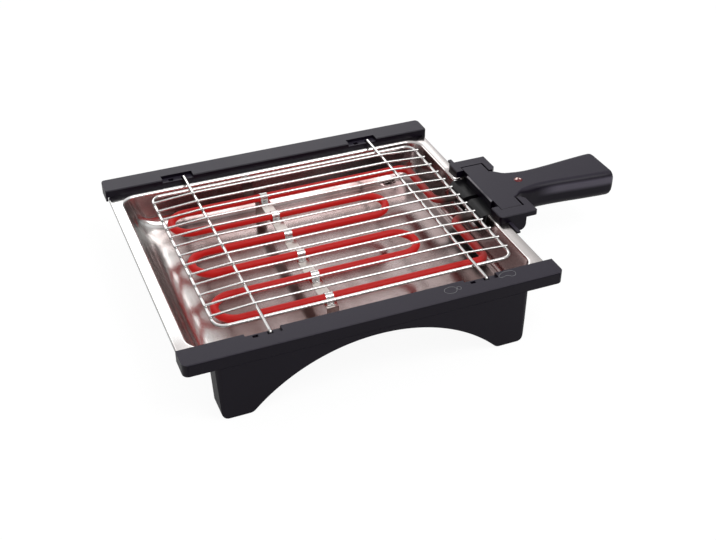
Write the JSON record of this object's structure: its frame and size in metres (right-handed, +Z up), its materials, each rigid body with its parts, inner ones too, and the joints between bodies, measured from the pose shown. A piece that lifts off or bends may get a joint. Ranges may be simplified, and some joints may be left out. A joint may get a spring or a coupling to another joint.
{
  "type": "electric table grill",
  "caption": "Electric table grill: steel drip tray between black rails on arched legs, a wire rack whose ends stand in holes of the rails, and a removable heating unit with a bent tubular element.",
  "frame": {"origin": "on the table, under the middle of the whole length with the handle", "axes": "+X along the rails towards the handle, +Y to the rear rail, +Z up"},
  "size_m": [0.524, 0.337, 0.074],
  "materials": {
    "polished_steel": "polished",
    "black_plastic": "satin",
    "heatproof_black": "satin",
    "chrome_wire": "bright",
    "hot_tube": "glowing red, dark at its ends",
    "screw_steel": "zinc plated",
    "strip_steel": "satin",
    "pin_steel": "satin",
    "foot_rubber": "matt",
    "gland_rubber": "matt",
    "red_lens": "clear red, polished",
    "lamp_glass": "clear",
    "ceramic": "unglazed ceramic",
    "switch_plastic": "moulded",
    "lead_insulation": "smooth",
    "earth_insulation": "smooth",
    "plunger_plastic": "moulded"
  },
  "bodies": {
    "base": {"tray": "polished_steel", "front_rail": "black_plastic", "rear_rail": "black_plastic", "front_leg": "black_plastic", "rear_leg": "black_plastic", "frame_screws": "screw_steel", "foot_pads": "foot_rubber", "control_bracket": "black_plastic", "bracket_screws": "screw_steel"},
    "heating_unit": {"heating_element": "hot_tube", "cold_pins": "pin_steel", "support_strip": "strip_steel", "tube_clips": "chrome_wire", "terminal_nose": "heatproof_black", "housing_upper": "black_plastic", "housing_lower": "black_plastic", "housing_screws": "screw_steel", "pilot_lens": "red_lens", "pilot_lamp": "lamp_glass", "terminal_blocks": "ceramic", "safety_switch": "switch_plastic", "power_leads": "lead_insulation", "earth_lead": "earth_insulation", "cord_gland": "gland_rubber"},
    "rack": {"rack_frame": "chrome_wire", "rack_cross_wires": "chrome_wire", "rack_long_wires": "chrome_wire"},
    "plunger": {"safety_plunger": "plunger_plastic"}
  },
  "joints": [
    {"name": "unit_lift", "type": "slide", "parent": "base", "child": "heating_unit", "axis": [0, 0, 1], "range_m": [0, 0.06]},
    {"name": "rack_lift", "type": "slide", "parent": "heating_unit", "child": "rack", "axis": [0, 0, 1], "range_m": [0, 0.05]},
    {"name": "plunger_release", "type": "slide", "parent": "heating_unit", "child": "plunger", "axis": [0, 0, -1], "range_m": [0, 0.003]}
  ],
  "couplings": [
    {"joint": "plunger_release", "follows": "unit_lift", "ratio": 0.05}
  ]
}
